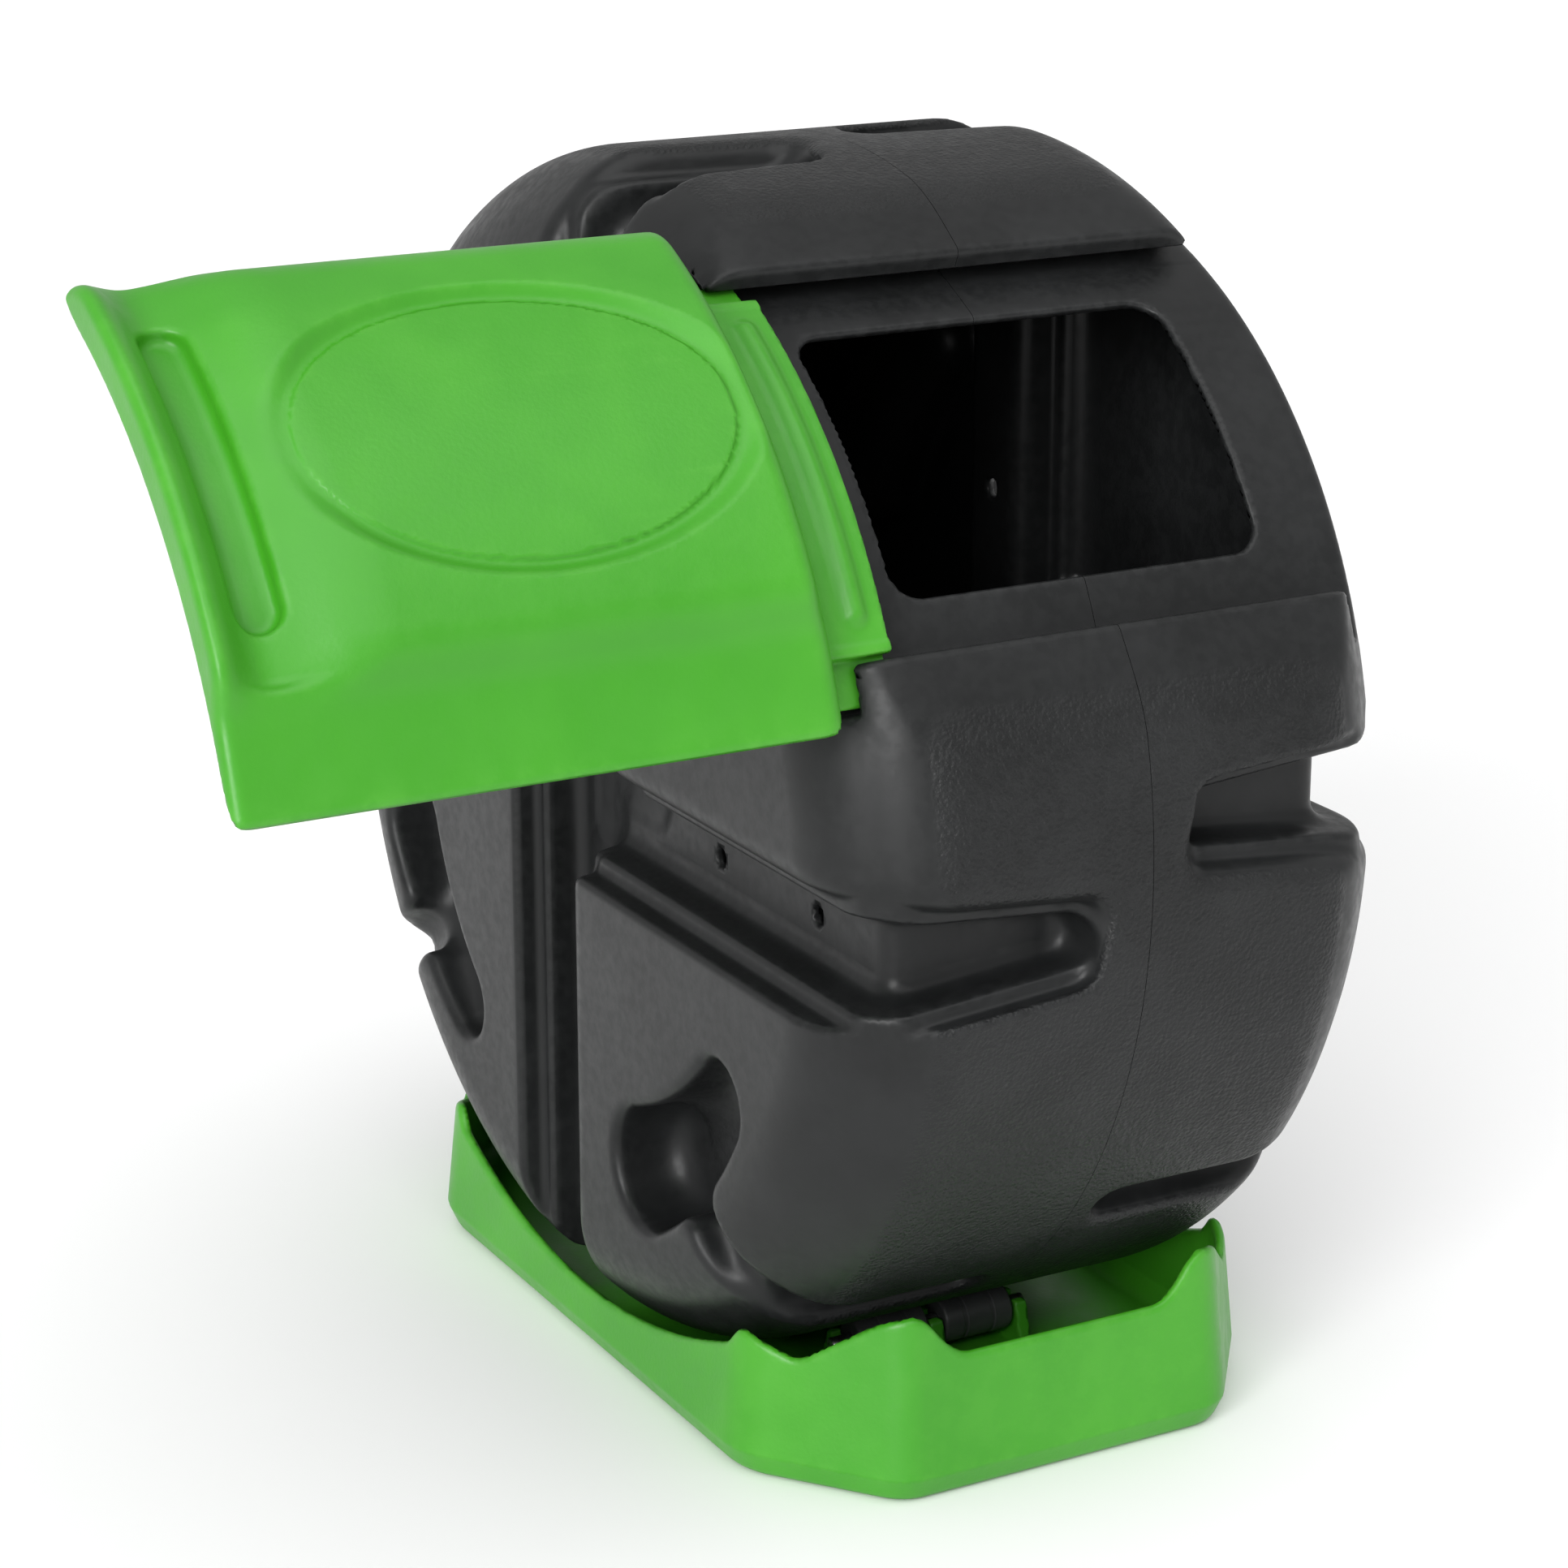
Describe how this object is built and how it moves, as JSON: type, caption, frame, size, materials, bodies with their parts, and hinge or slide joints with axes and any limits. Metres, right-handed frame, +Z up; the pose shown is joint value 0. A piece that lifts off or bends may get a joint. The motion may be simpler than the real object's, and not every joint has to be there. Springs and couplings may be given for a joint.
{
  "type": "compost tumbler",
  "caption": "Wheel-shaped rolling compost drum with crossed grooves and handholds, a curved sliding door, and a tray base with rollers that the drum turns on.",
  "frame": {"origin": "centre of the base tray's underside, on the floor", "axes": "+X along the drum axis, to the right of a person facing the door; -Y is the door side; +Z up"},
  "size_m": [0.583, 0.6, 0.616],
  "materials": {
    "black_plastic": "moulded black HDPE, grained tread and smooth end faces",
    "green_plastic": "bright green moulded HDPE, softly glossy",
    "roller_plastic": "black nylon, turned smooth",
    "axle_steel": "zinc-plated steel rod"
  },
  "bodies": {
    "base": {"base_tray": "green_plastic", "axle_front": "axle_steel", "axle_rear": "axle_steel"},
    "drum": {"drum_left_half": "black_plastic", "drum_right_half": "black_plastic"},
    "door": {"sliding_door": "green_plastic"},
    "roller_front_left": {"roller_front_left": "roller_plastic"},
    "roller_front_right": {"roller_front_right": "roller_plastic"},
    "roller_rear_left": {"roller_rear_left": "roller_plastic"},
    "roller_rear_right": {"roller_rear_right": "roller_plastic"}
  },
  "joints": [
    {"name": "drum_spin", "type": "hinge", "parent": "base", "child": "drum", "pos_m": [0, 0, 0.316], "axis": [1, 0, 0], "range_deg": [-150, 55]},
    {"name": "door_slide", "type": "slide", "parent": "drum", "child": "door", "axis": [1, 0, 0], "range_m": [-0.03, 0.26]},
    {"name": "roller_front_left_spin", "type": "hinge", "parent": "base", "child": "roller_front_left", "pos_m": [0, -0.10685, 0.02244], "axis": [1, 0, 0], "continuous": true},
    {"name": "roller_front_right_spin", "type": "hinge", "parent": "base", "child": "roller_front_right", "pos_m": [0, -0.10685, 0.02244], "axis": [1, 0, 0], "continuous": true},
    {"name": "roller_rear_left_spin", "type": "hinge", "parent": "base", "child": "roller_rear_left", "pos_m": [0, 0.10685, 0.02244], "axis": [1, 0, 0], "continuous": true},
    {"name": "roller_rear_right_spin", "type": "hinge", "parent": "base", "child": "roller_rear_right", "pos_m": [0, 0.10685, 0.02244], "axis": [1, 0, 0], "continuous": true}
  ],
  "couplings": [
    {"joint": "roller_front_left_spin", "follows": "drum_spin", "ratio": -25},
    {"joint": "roller_front_right_spin", "follows": "drum_spin", "ratio": -25},
    {"joint": "roller_rear_left_spin", "follows": "drum_spin", "ratio": -25},
    {"joint": "roller_rear_right_spin", "follows": "drum_spin", "ratio": -25}
  ]
}
